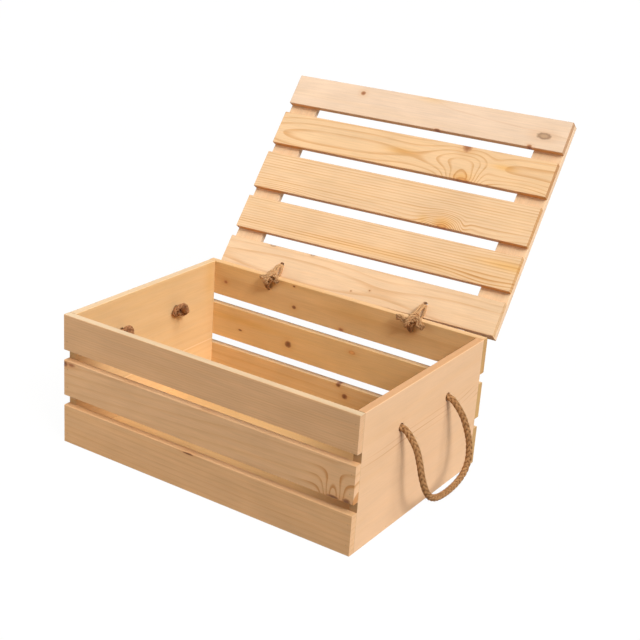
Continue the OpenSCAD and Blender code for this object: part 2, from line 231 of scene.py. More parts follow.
def pine(name, directions, wood, ring=3.4, pith=(-160, -30), tilt=(0.0, 0.0), phase=0.0,
         lines=0.4, crisp=0.6, wander=1.6, seed=0.0, swells=(), stains_and_shade=(), knots=(),
         lines_at=(), bold=(), mottling=1.0, edge=(1, 1, 1), edge_reach=0.4,
         sawn_tone_and_shade=(0.84, 0.78, 0.70)):
    """Pine for one board, worked out from its growth rings.

    wood: the board's colour, 0 to 255. ring: millimetres between rings. pith: the tree's
    middle, across the board and through it. tilt: how far the pith drifts for each
    millimetre along the board. phase: where the first ring ends, as a share of a ring.
    lines: strength of the late wood. crisp: share of a ring that stays free of it.
    swells: (along, across, half length, half height, millimetres by which rings move out).
    stains_and_shade: (along, across, half length, half height, strength) of golden patches; one on
    the left end is a painted shadow.
    knots: (along, across, half length, half height, tone).
    lines_at: (along, across, half length, half height) of the only parts with ring lines.
    bold: the same, and the strength that the lines gain there.
    mottling: strength of the fibres and soft clouds between the lines.
    edge, sawn_tone_and_shade: shares of the colour on the board's narrow faces and on its sawn
    ends; besides the ends' own darker tone they carry painted highlights on lit rims and painted
    shade on shaded edges and ends.
    edge_reach: millimetres by which the first of these runs on over the wide faces.
    """
    look = Finish(name + "_pine")
    middle, size = board_frame(name, directions)
    place = look.node("TexCoord", output="Object")
    along, across, through = [
        look.vector_math("DOT_PRODUCT", place, tuple(d / MM), output="Value") - float(m)
        for d, m in zip(directions, middle)]
    grain = look.node("CombineXYZ", None, {0: along, 1: across, 2: through})

    def patch(u, v, half_long, half_high):
        """1 in the middle of an oval on the face, fading out past its edge."""
        near = ((along - u) / half_long) ** 2 + ((across - v) / half_high) ** 2
        return look.math("EXPONENT", near * -1.0)

    # Distance from the pith, as the rings see it, and how knots beside the board push them
    side = across - pith[0] - along * tilt[0]
    deep = through - pith[1] - along * tilt[1]
    away = (side * side + deep * deep) ** 0.5
    for u, v, half_long, half_high, push in swells:
        away = away + patch(u, v, half_long, half_high) * push
    away = away + (look.mottle(grain, (150, 30, 30), seed, 1.0) - 0.5) * wander
    away = away + (look.mottle(grain, (40, 7, 7), seed + 3, 2.0) - 0.5) * (0.35 * wander)

    knot_marks = []
    for u, v, half_long, half_high, tone in knots:
        near = (((along - u) / half_long) ** 2 + ((across - v) / half_high) ** 2) ** 0.5
        away = away + look.math("EXPONENT", near * near * -0.3) * (0.4 * half_high)
        near = near + (look.mottle(grain, 4, seed + u, 2.0) - 0.5) * 0.5
        knot_marks.append((near, *KNOT_TONES[tone]))

    # Late wood darkens slowly towards each ring's edge and stops at it
    count = away / ring + phase
    part = look.math("FRACT", count)
    each = look.node("TexWhiteNoise", {"noise_dimensions": "1D"},
                     {"W": look.math("FLOOR", count) + seed * 7}, output=0)
    faint = look.rise(look.mottle(grain, (90, 10, 10), seed + 7, 1.0), 0.25, 0.6)
    drop = min(0.09, 0.6 / ring)
    late = (look.rise(part, min(crisp - 0.25, 1 - 4 * drop), 1 - 1.3 * drop)
            * look.rise(part, 1.0, 1 - drop) * (0.45 + each * 0.55) * (0.45 + faint * 0.55))
    if lines_at:
        shown = sum((patch(*place) for place in lines_at[1:]), patch(*lines_at[0]))
        late = late * look.math("MINIMUM", shown * 1.6, 1.0)
    for u, v, half_long, half_high, gain in bold:
        late = late * (1.0 + patch(u, v, half_long, half_high) * gain)

    # Soft stripes and fibres along the board
    stripes = look.mottle(grain, (240, 12, 12), seed + 11, 2.0)
    fibres = look.mottle(grain, (26, 0.55, 0.55), seed + 17, 2.0)
    clouds = look.mottle(grain, (70, 30, 30), seed + 23, 2.0)
    pores = look.rise(look.mottle(grain, (7, 0.45, 0.45), seed + 29, 0.0), 0.74, 0.84)

    colour = look.mix(1.0, srgb(*wood), (1, 1, 1, 1), "MULTIPLY")
    gold_and_shade = look.rise(stripes, 0.35, 0.8) * 0.18
    # Golden patches, one of them a painted shadow
    for u, v, half_long, half_high, strength in stains_and_shade:
        gold_and_shade = gold_and_shade + patch(u, v, half_long, half_high) * strength
    colour = look.mix(look.math("MINIMUM", gold_and_shade, 1.0), colour, look.tinted(colour, GOLD_AND_SHADE_TINT))
    colour = look.mix(look.math("MINIMUM", late * lines, 1.3), colour, look.tinted(colour, LATE))
    streaks = look.mottle(grain, (60, 2.2, 2.2), seed + 37, 1.0)
    bright = 1.0 + mottling * ((fibres - 0.5) * 0.22 + (streaks - 0.5) * 0.16
                               + (clouds - 0.5) * 0.24 - pores * 0.09)
    for near, core, rim in knot_marks:
        colour = look.mix(look.rise(near, 3.2, 0.9) * 0.4, colour, look.tinted(colour, HALO))
        inner = look.mix(look.rise(near, 0.35, 0.85), core, rim)
        colour = look.mix(look.rise(near, 1.25, 0.75) * 0.9, colour, inner)

    # Narrow faces and sawn ends, with painted highlights and painted shade on some boards
    narrow = look.rise(look.math("ABSOLUTE", across), size[1] / 2 - edge_reach, size[1] / 2 - 0.1)
    sawn = look.rise(look.math("ABSOLUTE", along), size[0] / 2 - 0.5, size[0] / 2 - 0.1)
    colour = look.mix(narrow, colour, look.tinted(colour, edge))
    colour = look.mix(sawn, colour, look.tinted(colour, sawn_tone_and_shade))
    colour = look.shade(colour, bright)

    rough = 0.56 - late * (0.10 * lines) + (fibres - 0.5) * 0.14 + sawn * 0.15
    height = (fibres * 0.00005 + late * (0.00003 * lines) - pores * 0.00004
              + look.mottle(grain, (18, 6, 6), seed + 31, 1.0) * 0.00006)
    return look.surface({"Base Color": colour, "Roughness": rough, "Specular IOR Level": 0.32},
                        (height, 0.9))


# Shares of a board's colour on its narrow faces and sawn ends: painted highlight on the rims,
# painted shade on the lid's edges
# Front rim: partly the planed edge's own paler tone, mostly painted highlight on the lit top edge
FRONT_RIM_TONE_AND_HIGHLIGHT = (1.13, 1.42, 1.75)
FRONT_EDGE = (0.98, 1.00, 1.02)
FRONT_SAWN = (1.15, 1.22, 1.38)
# Left end and back slats: lighter, bluer narrow faces, a painted highlight on their lit rims
LEFT_EDGE_HIGHLIGHT = (1.10, 1.17, 1.42)
BACK_EDGE_HIGHLIGHT = (1.14, 1.18, 1.40)
# Lid slats: browner narrow faces, painted shade on their shaded lower edges
LID_EDGE_SHADE = (0.78, 0.56, 0.32)
LID_SAWN = (0.70, 0.56, 0.44)
BOARDS = {
    "front_top_slat": (SIDE, dict(
        wood=(218, 173, 128), ring=3.4, tilt=(0.006, 0.0), lines=0.34, seed=1.3, edge=FRONT_RIM_TONE_AND_HIGHLIGHT,
        sawn_tone_and_shade=FRONT_SAWN)),
    "front_middle_slat": (SIDE, dict(
        wood=(223, 178, 132), ring=13, pith=(-150, -30), tilt=(0.07, 0.0), phase=0.3, lines=0.46,
        crisp=0.8, seed=2.9, edge=FRONT_EDGE, sawn_tone_and_shade=FRONT_SAWN, swells=[
            (219, -30, 15, 28, 54), (247, -36, 10, 18, 16), (60, 30, 90, 20, -5)],
        bold=[(214, -14, 28, 24, 9.0), (246, -18, 8, 22, 2.4)], knots=[
            (219, -26.5, 9, 2.6, "dark"), (240, -27, 6, 5, "dark"), (-249, 22, 6, 4, "dark"),
            (-236, 23, 8, 3, "brown")])),
    "front_bottom_slat": (SIDE, dict(
        wood=(220, 174, 126), ring=8, tilt=(-0.012, 0.0), lines=0.40, crisp=0.78, wander=3,
        seed=4.1, edge=FRONT_EDGE, sawn_tone_and_shade=FRONT_SAWN, knots=[(-18, 28, 9, 1.5, "dark")])),
    "back_top_slat": (SIDE, dict(
        wood=(223, 182, 127), ring=12, pith=(-30, -70), lines=0.34, wander=4, seed=5.7,
        stains_and_shade=[(-200, 20, 50, 14, 0.5), (30, 8, 70, 12, 0.5), (-90, 24, 60, 8, 0.4)], knots=[
            (-80, -11, 4, 3, "dark"), (-215, -3, 4, 3, "brown"), (9, -24, 5, 3, "brown"),
            (-82, 23.5, 2.5, 1.6, "dark")], edge=BACK_EDGE_HIGHLIGHT)),
    "back_middle_slat": (SIDE, dict(
        wood=(224, 185, 128), ring=9, pith=(-10, -60), tilt=(-0.036, 0.0), phase=0.9, lines=0.7,
        crisp=1.0, seed=6.6, lines_at=[(-190, 12, 90, 6)], stains_and_shade=[(-180, 10, 80, 6, 0.6)], knots=[
            (-87, -5, 6, 5.5, "dark"), (-182, -7, 4, 1.6, "dark"), (32, 15, 6, 3, "orange")],
        edge=BACK_EDGE_HIGHLIGHT)),
    "back_bottom_slat": (SIDE, dict(
        wood=(218, 182, 130), ring=9, pith=(-70, -60), lines=0.30, crisp=0.75, seed=8.2, knots=[
            (12, 28, 4.5, 3.5, "dark"), (25, 12, 5, 4.5, "dark")], edge=BACK_EDGE_HIGHLIGHT)),
    # The upper left board's golden patch by the back corner is a painted shadow
    "left_end_upper_board": (END, dict(
        wood=(226, 190, 140), ring=9, pith=(40, -90), lines=0.14, mottling=0.6, seed=9.4,
        edge=LEFT_EDGE_HIGHLIGHT, stains_and_shade=[(150, 40, 14, 40, 0.5)])),
    # The lower board's light top edge runs 2.2 mm onto its face: a painted highlight along the
    # joint
    "left_end_lower_board": (END, dict(
        wood=(232, 194, 142), ring=8, pith=(-80, -70), lines=0.16, mottling=0.6, seed=10.8,
        edge=LEFT_EDGE_HIGHLIGHT, edge_reach=2.2)),
    # Right end: darker narrow faces and much darker sawn ends, painted shade for the notches
    # between the front slats
    "right_end_board": (END, dict(
        wood=(238, 196, 155), ring=9, pith=(-320, -60), phase=0.98, lines=1.0, crisp=1.03,
        wander=1.6, mottling=0.5, seed=12.8, edge=(0.86, 0.74, 0.62), sawn_tone_and_shade=(0.50, 0.45, 0.34),
        swells=[(190, 30, 60, 70, -16), (-120, 30, 60, 60, 3)], lines_at=[(60, 24, 190, 9)])),
    "floor_panel": (FLOOR, dict(
        wood=(216, 176, 122), ring=9, pith=(30, -60), lines=0.18, wander=5, seed=13.9)),
    "lid_slat_1": (LID, dict(
        wood=(240, 204, 164), ring=8, pith=(-6, -14), tilt=(-0.01, 0.0), phase=0.62, lines=0.5,
        crisp=0.8, wander=2.5, seed=15.2, edge=LID_EDGE_SHADE, sawn_tone_and_shade=(0.94, 0.88, 0.78),
        swells=[(50, -2, 75, 60, 6), (-260, -2, 90, 40, 6)],
        knots=[(-163, 26, 5, 2, "grey"), (-88, 26.5, 4, 2, "grey"), (30, -6.8, 1.6, 1.2, "brown"),
               (0, -14.8, 1.4, 1.1, "brown")])),
    "lid_slat_2": (LID, dict(
        wood=(242, 205, 162), ring=4.1, lines=0.7, seed=16.1, edge=LID_EDGE_SHADE,
        sawn_tone_and_shade=(0.86, 0.76, 0.62),
        bold=[(-60, -14, 190, 9, 1.0), (200, -16, 70, 10, 1.2)],
        swells=[(205, -25, 60, 12, 7), (260, 23, 120, 12, -5)],
        stains_and_shade=[(235, 9, 60, 8, 1.0), (60, -16, 220, 9, 0.4)])),
    "lid_slat_3": (LID, dict(
        wood=(242, 205, 162), ring=4.5, lines=0.7, seed=17.7, edge=LID_EDGE_SHADE,
        sawn_tone_and_shade=(0.80, 0.66, 0.50),
        bold=[(114, -26, 42, 19, 2.4), (-190, -30, 60, 12, 1.2)],
        swells=[(103, -36, 25, 23, -27), (137, -25, 9, 14, 6), (180, -37, 60, 16, 9),
                (-190, -37, 55, 14, -8), (45, -37, 40, 15, 6)],
        stains_and_shade=[(103, -25, 17, 9, 1.0), (68, -26, 9, 9, 0.7)],
        knots=[(103, -30.5, 8, 3.5, "orange")])),
    "lid_slat_4": (LID, dict(
        wood=(243, 204, 158), ring=8.3, pith=(-2.5, -9), tilt=(0.02, 0.0), phase=0.68, lines=0.95,
        crisp=0.8, wander=1.5, seed=18.8, edge=LID_EDGE_SHADE, sawn_tone_and_shade=LID_SAWN,
        swells=[(-290, 0, 62, 60, 11), (5, 0, 50, 60, 4.4), (103, -31.5, 27, 19, -46),
                (92, 1.5, 40, 20, -15.5), (138, -13.5, 13, 22, 6), (150, 6.5, 22, 24, 7),
                (200, -47, 60, 30, 34)],
        bold=[(104, -22, 46, 22, 0.6)],
        stains_and_shade=[(-12, -0.5, 32, 6, 0.9), (165, 4.5, 20, 5, 0.9), (104, -24.5, 16, 9, 1.0)],
        knots=[(106, -29, 10, 4.5, "orange"), (95, 27.5, 8, 9, "brown")])),
    "lid_slat_5": (LID, dict(
        wood=(243, 213, 184), ring=60, pith=(60, -20), tilt=(-0.075, 0.0), phase=0.13, lines=0.5,
        crisp=1.2, wander=3, seed=20.3, edge=LID_EDGE_SHADE, sawn_tone_and_shade=LID_SAWN,
        swells=[(5, 22, 26, 20, 8)], lines_at=[(120, 0, 130, 30)],
        stains_and_shade=[(5, 25.5, 22, 8, 0.5)],
        knots=[(-118.5, 13.5, 4.5, 3.6, "brown"), (208, -4.5, 11.5, 5.5, "grey_brown"),
               (191, -25.5, 4, 3, "brown"), (33, -26, 5, 1.5, "brown")])),
    "left_batten": (BATTEN, dict(
        wood=(244, 208, 166), ring=6, pith=(30, 60), lines=0.10, seed=21.9, edge=(1.05, 1.08, 1.2),
        knots=[(142, -6, 2.5, 2.5, "dark")])),
    "right_batten": (BATTEN, dict(
        wood=(244, 208, 166), ring=6, pith=(-30, 60), lines=0.10, seed=23.4,
        edge=(1.05, 1.08, 1.2))),
}


for name, (directions, grain) in BOARDS.items():
    made = pine(name, directions, **grain)
    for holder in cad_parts[name].material_slots:
        holder.material = made


def brad_filler():
    """The brads' heads are punched in and filled."""
    look = Finish("brad_filler")
    place = look.node("TexCoord", output="Object")
    specks = look.mottle(place, 0.0012, 2.0, 3.0)
    colour = look.mix(specks, srgb(214, 172, 126), srgb(184, 142, 98))
    return look.surface({"Base Color": colour, "Roughness": 0.6 + specks * 0.2})


filler = brad_filler()
for name in ("front_brads", "back_brads", "floor_brads", "lid_brads"):
    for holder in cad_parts[name].material_slots:
        holder.material = filler


def fibre(name, light, dark, shade_colour, shade_share):
    """Jute: light and dark hairs that follow each strand, with painted shade down in the grooves.
    """
    look = Finish(name)
    strand = look.node("Attribute", {"attribute_name": "strand_place"}, output="Vector")
    hollow = look.node("Attribute", {"attribute_name": "hollow"}, output="Fac")
    place = look.node("TexCoord", output="Object")
    hairs = look.mottle(strand, (0.34, 0.34, 5.0), 1.0, 3.0)
    patches = look.mottle(place, 0.006, 4.0, 2.0)
    colour = look.mix(look.rise(hairs * 0.7 + patches * 0.3, 0.3, 0.72), dark, light)
    # Painted shade: towards the dark colour in grooves, under crossing strands and at shaded ends
    colour = look.mix(hollow * shade_share, colour, shade_colour)
    height = hairs * 0.00022
    return look.surface({"Base Color": colour, "Roughness": 0.82 + (hairs - 0.5) * 0.2,
                         "Specular IOR Level": 0.2}, (height, 0.8))


rope_jute = fibre("rope_jute", srgb(198, 152, 104), srgb(138, 94, 54), srgb(92, 54, 22), 0.5)
knot_jute = fibre("knot_jute", srgb(190, 140, 98), srgb(148, 100, 64), srgb(92, 54, 28), 0.45)
twine_jute = fibre("twine_jute", srgb(226, 184, 136), srgb(182, 136, 90), srgb(112, 66, 28), 0.72)


# ---------------------------------------------------------------- rope and twine


def smooth_line(points, gap):
    """Catmull-Rom line through the points, with samples a gap apart."""
    p = np.asarray(points, float)
    p = np.vstack([2 * p[0] - p[1], p, 2 * p[-1] - p[-2]])
    t = np.linspace(0, 1, 24, endpoint=False)[:, None]
    runs = [b + t / 2 * ((c - a) + t * ((2 * a - 5 * b + 4 * c - d) + t * (3 * b - a - 3 * c + d)))
            for a, b, c, d in zip(p, p[1:], p[2:], p[3:])]
    return even_line(np.vstack(runs + [p[-2:-1]]), gap)


def even_line(line, gap):
    """The same line with its samples evenly spaced."""
    run = np.r_[0, np.cumsum(np.linalg.norm(np.diff(line, axis=0), axis=1))]
    at = np.linspace(0, run[-1], max(2, round(run[-1] / gap) + 1))
    return np.stack([np.interp(at, run, line[:, k]) for k in range(3)], 1)


def unit(vectors):
    return vectors / np.linalg.norm(vectors, axis=-1, keepdims=True)


def frames_along(line):
    """Direction and two cross directions at each sample, without needless turning."""
    ahead = unit(np.gradient(line, axis=0))
    start = np.eye(3)[np.argmin(np.abs(ahead[0]))]
    side = np.empty_like(line)
    side[0] = unit(start - ahead[0] * (start @ ahead[0]))
    for i in range(1, len(line)):
        side[i] = unit(side[i - 1] - ahead[i] * (side[i - 1] @ ahead[i]))
    return ahead, side, np.cross(ahead, side)


def run_of(line):
    return np.r_[0, np.cumsum(np.linalg.norm(np.diff(line, axis=0), axis=1))]


class Skin:
    """Faces of one piece, gathered strand by strand, with what its finish reads."""

    def __init__(self):
        self.points, self.faces, self.places, self.hollows, self.count = [], [], [], [], 0

    def tube(self, centres, out, wide, thick, sides=10, twist=0.0, lobes=0, number=0, depth=None,
             thin=None, grooves=1.0):
        """A strand: its centres, the direction out of the rope, and its half width and height."""
        n = len(centres)
        ahead = unit(np.gradient(centres, axis=0))
        across = unit(np.cross(ahead, out))
        up = np.cross(across, ahead)
        run = run_of(centres)
        angle = np.arange(sides) * 2 * np.pi / sides
        turned = angle[None, :] - twist * run[:, None]
        swell = 1 + 0.09 * np.cos(lobes * turned) if lobes else np.ones((n, sides))
        if thin is not None:
            swell = swell * thin[:, None]
        ring = (centres[:, None] + (wide * swell * np.cos(angle))[..., None] * across[:, None]
                + (thick * swell * np.sin(angle))[..., None] * up[:, None])
        i, k = np.meshgrid(np.arange(n - 1), np.arange(sides), indexing="ij")
        j, m = i + 1, (k + 1) % sides
        walls = np.stack([i * sides + k, i * sides + m, j * sides + m, j * sides + k], -1)
        self.faces += (walls.reshape(-1, 4) + self.count).tolist()
        first = [self.count + k for k in range(sides)][::-1]
        last = [self.count + (n - 1) * sides + k for k in range(sides)]
        self.faces += [first, last]
        self.points.append(ring.reshape(-1, 3))
        place = np.stack([wide * np.cos(turned), wide * np.sin(turned),
                          np.broadcast_to(run[:, None], (n, sides))], -1)
        self.places.append(place.reshape(-1, 3) + number * 17.3)
        # Painted shade: the depth given, plus more on the strand's inner side and where it meets
        # its neighbours
        hollow = (np.zeros((n, sides)) if depth is None
                  else np.broadcast_to(depth[:, None], (n, sides)))
        hollow = np.clip(hollow + grooves * (0.5 * np.clip(-np.sin(angle), 0, 1)[None, :]
                                             + 0.35 * np.abs(np.cos(angle))[None, :] ** 3), 0, 1)
        self.hollows.append(hollow.reshape(-1))
        self.count += n * sides

    def hair(self, line, radius, number):
        """A loose fibre that thins out to its tip."""
        thin = np.linspace(1, 0.35, len(line))
        out = np.cross(unit(np.gradient(line, axis=0)), [0.31, 0.52, 0.79])
        self.tube(line, out, radius, radius, sides=3, number=number, thin=thin)

    def piece(self, name, finish):
        mesh = bpy.data.meshes.new(name)
        mesh.from_pydata((np.vstack(self.points) * MM).tolist(), [], self.faces)
        place = mesh.attributes.new("strand_place", "FLOAT_VECTOR", "POINT")
        place.data.foreach_set("vector", np.vstack(self.places).astype(np.float32).ravel())
        hollow = mesh.attributes.new("hollow", "FLOAT", "POINT")
        hollow.data.foreach_set("value", np.concatenate(self.hollows).astype(np.float32))
        mesh.polygons.foreach_set("use_smooth", [True] * len(mesh.polygons))
        mesh.materials.append(finish)
        mesh.update()
        made = bpy.data.objects.new(name, mesh)
        bpy.context.scene.collection.objects.link(made)
        return made


def braid(skin, line, width, number=0):
    """Eight-strand round braid along a line: four strands each way, over two and under two."""
    _, side, other = frames_along(line)
    run = run_of(line)
    scale = width / ROPE_D
    for k in range(4):
        for way in (1, -1):
            angle = np.pi / 2 * k + way * 2 * np.pi * run / (BRAID_PITCH * scale)
            angle = angle + (np.pi / 4 if way < 0 else 0)
            over = way * np.tanh(2.2 * np.cos(2 * angle)) / np.tanh(2.2)
            reach = scale * (BRAID_REACH + BRAID_WAVE * over)
            out = np.cos(angle)[:, None] * side + np.sin(angle)[:, None] * other
            # depth: painted shade where a strand dips under the others
            skin.tube(line + reach[:, None] * out, out, BRAID_HALF_WIDTH * scale,
                      BRAID_HALF_HEIGHT * scale, sides=10,
                      twist=way * 1.1 / scale, lobes=3, number=number + 2 * k + way,
                      depth=np.clip(0.35 - 0.45 * over, 0, 0.8))


def plies(skin, line, width, number=0, extra_shade=0.08):
    """Three-ply twisted twine along a line.

    extra_shade: how brown it is, all along or at each sample; a little all over, plus painted
    shade where callers add it.
    """
    _, side, other = frames_along(line)
    run = run_of(line)
    for k in range(3):
        angle = 2 * np.pi * (k / 3 + run / (TWINE_LAY * width))
        out = np.cos(angle)[:, None] * side + np.sin(angle)[:, None] * other
        skin.tube(line + 0.24 * width * out, out, 0.29 * width, 0.27 * width, sides=8,
                  twist=-1.6, lobes=3, number=number + k,
                  depth=np.broadcast_to(extra_shade, len(line)), grooves=0.5)


def held_in(hair, line, reach):
    """The same fibre, no further than reach from the line."""
    gaps = hair[:, None] - line[None]
    far = np.linalg.norm(gaps, axis=2)
    nearest = far.argmin(1)
    rows = np.arange(len(hair))
    far = far[rows, nearest]
    share = np.minimum(1.0, reach / np.maximum(far, 1e-6))
    return line[nearest] + gaps[rows, nearest] * share[:, None]


def fuzz(skin, line, width, count, seed, long=9.0, thick=0.055):
    """Loose fibres that stand off a rope or twine."""
    rng = np.random.default_rng(seed)
    ahead, side, other = frames_along(line)
    for n in range(count):
        i = rng.integers(2, len(line) - 2)
        turn_at = rng.uniform(0, 2 * np.pi)
        out = np.cos(turn_at) * side[i] + np.sin(turn_at) * other[i]
        round_it = np.cross(ahead[i], out)
        go = unit(ahead[i] * rng.choice((-1, 1)) + out * rng.uniform(0.05, 0.5)
                  + round_it * rng.normal(0, 0.5))
        curl = rng.normal(0, 0.35, 3)
        length = long * rng.uniform(0.35, 1.0)
        t = np.linspace(0, 1, 6)[:, None]
        hair = line[i] + out * width * 0.44 + length * (go * t + curl * t ** 2 * 0.6)
        skin.hair(held_in(hair, line, 0.74 * width), thick * rng.uniform(0.7, 1.3), 900 + n)


def frayed_end(skin, tip, way, width, count, seed, long=7.0):
    """Fibres that splay from a cut end."""
    rng = np.random.default_rng(seed)
    way = unit(np.asarray(way, float))
    a = unit(np.cross(way, [0.3, 0.5, 0.81]))
    b = np.cross(way, a)
    for n in range(count):
        r, turn_at = width * 0.46 * math.sqrt(rng.uniform()), rng.uniform(0, 2 * np.pi)
        off = np.cos(turn_at) * a + np.sin(turn_at) * b
        t = np.linspace(0, 1, 5)[:, None]
        go = unit(way + off * rng.uniform(0.0, 0.7) + rng.normal(0, 0.12, 3))
        hair = (tip - way * 1.5 + off * r
                + long * rng.uniform(0.4, 1) * (go * t + off * 0.25 * t ** 2))
        skin.hair(hair, 0.11 * rng.uniform(0.7, 1.3), 1500 + n)


def overhand_knot(spare=9.5, reach=7.0, steps=400, sweeps=12, per_strand=3.0):
    """Centre line of an overhand knot pulled tight, in a strand of diameter 1, along Z.

    Starts as a wide trefoil loop. The ends are drawn apart while the strand keeps its
    length and no two stretches come nearer than its own width.
    """
    t = np.linspace(-2.15, 2.15, 4001)
    loop = np.stack([t ** 3 - 3 * t, t ** 4 - 4 * t ** 2, 0.32 * (t ** 5 - 10 * t)], 1)
    total = 2 * reach + spare
    n = int(total * per_strand) + 1
    step = total / (n - 1)
    line = even_line(loop, run_of(loop)[-1] / (n - 1))[:n]
    line = line * (total / run_of(line)[-1])
    line -= (line[0] + line[-1]) / 2
    low, high = line[0].copy(), line[-1].copy()
    i, j = np.triu_indices(n, k=1)
    apart = (j - i) * step > 1.45
    i, j = i[apart], j[apart]
    window = np.sin(np.linspace(0, np.pi, n))[:, None]
    for k in range(steps):
        drawn = min(1.0, (k + 1) / (0.8 * steps))
        drawn = drawn * drawn * (3 - 2 * drawn)
        line[:, :2] -= window * line[n // 4: 3 * n // 4, :2].mean(0) * 0.5
        line[1:-1] += 0.12 * ((line[:-2] + line[2:]) / 2 - line[1:-1])
        for _ in range(sweeps):
            line[0] = low + ([0, 0, -reach] - low) * drawn
            line[-1] = high + ([0, 0, reach] - high) * drawn
            gap = np.diff(line, axis=0)
            long = np.linalg.norm(gap, axis=1, keepdims=True)
            pull = (long - step) / long * gap * 0.45
            line[:-1] += pull
            line[1:] -= pull
            gap = line[j] - line[i]
            long = np.linalg.norm(gap, axis=1)
            near = long < 1.0
            if near.any():
                push = ((1.0 - long[near]) / long[near])[:, None] * gap[near] * 0.5
                move, hits = np.zeros_like(line), np.zeros((n, 1))
                np.add.at(move, i[near], -push)
                np.add.at(move, j[near], push)
                np.add.at(hits, i[near], 1)
                np.add.at(hits, j[near], 1)
                line += move / np.maximum(hits, 1)
    return line


KNOT = overhand_knot()
KNOT_ENTRY = int(np.argmax(np.abs(KNOT[:, 2]) < 1.9))
KNOT_EXIT = len(KNOT) - 1 - int(np.argmax(np.abs(KNOT[::-1, 2]) < 1.9))


def tied(strand, centre, axis, up, lead, tail, gap):
    """Line of a knot in a strand: lead points, the tight knot, then its tail.

    axis is the direction from the lead to the tail, up turns the knot about it. The
    lead and tail are points in millimetres from the knot's centre, in the row frame.
    """
    axis, up = unit(np.asarray(axis, float)), np.asarray(up, float)
    side = unit(np.cross(up, axis))
    turned = np.stack([side, np.cross(axis, side), axis])
    core = KNOT[KNOT_ENTRY: KNOT_EXIT + 1: 2] * strand @ turned
    points = np.vstack([lead, core, tail]) + centre
    return smooth_line(points, gap)


def handle_line(end):
    """Centre line of a handle, from inside its front hole to inside its back hole."""
    half = [(ROPE_TURN_X + out, -ROPE_HALF_SPACING * share, ROPE_Z + down)
            for out, share, down in HALF_HANDLE]
    inside = [(CRATE_L / 2 - ROPE_INSIDE, -ROPE_HALF_SPACING, ROPE_Z + 0.9),
              (CRATE_L / 2 - 4, -ROPE_HALF_SPACING, ROPE_Z)]
    front = inside + half
    line = np.array(front + [(x, -y, z) for x, y, z in front[-2::-1]])
    return line if end > 0 else line * [-1, -1, 1]


for end, hand in ((1, "right"), (-1, "left")):
    skin = Skin()
    line = smooth_line(handle_line(end), 0.8)
    braid(skin, line, ROPE_D)
    fuzz(skin, line[20:-20], ROPE_D, 420, seed=10 + end)
    rope = skin.piece(hand + "_braided_rope", rope_jute)
    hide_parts(hand + "_rope_handle")
    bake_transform(rope)
    (line[::12] * MM).tolist() + [(line[-1] * MM).tolist()]

    for side, depth in ((-1, "front"), (1, "back")):
        hole = np.array([end * (CRATE_L / 2 - END_T), side * ROPE_HALF_SPACING, ROPE_HOLE_Z])
        inward = np.array([-end, 0, 0])
        centre = hole + inward * (1.32 * KNOT_ROPE_D) + [0, 0, -0.5]
        lead = np.array([-inward * 2.6, -inward * 1.9]) * KNOT_ROPE_D + [0, 0, 0.2]
        lift = np.array([0, side * -0.5, 0.87]) if depth == "back" else np.array([0, -0.9, 0.4])
        tail = np.array([inward * 1.6 + lift * 0.5, inward * 1.9 + lift * 1.2,
                         inward * 2.0 + lift * 2.0]) * KNOT_ROPE_D
        line = tied(KNOT_ROPE_D, centre, inward, lift, lead, tail, 0.7)
        skin = Skin()
        braid(skin, line, KNOT_ROPE_D + 0.6, number=40)
        fuzz(skin, line[10:-4], KNOT_ROPE_D, 160, seed=30 + 2 * end + side, long=7)
        frayed_end(skin, line[-1], line[-1] - line[-5], KNOT_ROPE_D, 90, seed=50 + end + 3 * side)
        knot = skin.piece(f"{hand}_{depth}_stopper_knot", knot_jute)
        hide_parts(f"{hand}_{depth}_knot")
        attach(knot, "crate")


def by_hinge(x, radius, degrees):
    """A point round the lid's hinge line, seen along X."""
    a = math.radians(degrees)
    back = HINGE_Y + (x - LID_LEFT) * math.tan(HINGE_TURN)
    return np.array([x, back + radius * math.cos(a), HINGE_Z + radius * math.sin(a)])


def by_lid(x, back, up):
    """A point that far behind and above the hinge line."""
    return by_hinge(x, math.hypot(back, up), math.degrees(math.atan2(up, back)))


def hinge_strands(x, knot_at):
    """Twine of one hinge: two turns through the lid's hole and one down the lid's face.

    It leaves the hole along its lower edge.
    """
    inside = BACK_SLAT_INSIDE
    runs = []
    for way in (-1, 1):
        off = np.array([way * 1.9, 0, 0])
        runs.append([
            knot_at + [way * 2.6, -0.5, -4], (x + way * 2.8, inside - 5.4, 190),
            (x + way * 1.6, inside - 1.5, 183.5),
            (x + way * 1.2, inside + 6, 182.5), (x + way * 1.4, inside + 12.5, 182),
            by_hinge(x, 19.8, -68) + off, by_hinge(x, 21.5, -50) + off,
            by_hinge(x, 24.2, -20) + off, by_hinge(x, 26, 5) + off,
            by_hinge(x, 25.8, 19) + off, by_hinge(x, 23.6, 31) + off,
            by_hinge(x, 22.0, 43) + off, by_lid(x, 5.5, 14.5) + off * 1.3,
            (x * 0.4 + knot_at[0] * 0.6 + way * 2.3, 171, 208.5), knot_at + [way * 2.6, 5, 3.5]])
    runs.append([
        by_lid(x + 2.6, 18.6, 12.5), by_lid(x + 3.6, 13.6, 13.4), by_lid(x + 5.0, 9.6, 8.8),
        by_lid(x + 5.2, 5.0, 2.8), by_lid(x + 3, 1.2, -3.5), (x + 1, 175.6, 189), (x, 172, 182.8)])
    return [smooth_line(np.array([list(p) for p in run]), 0.5) for run in runs]


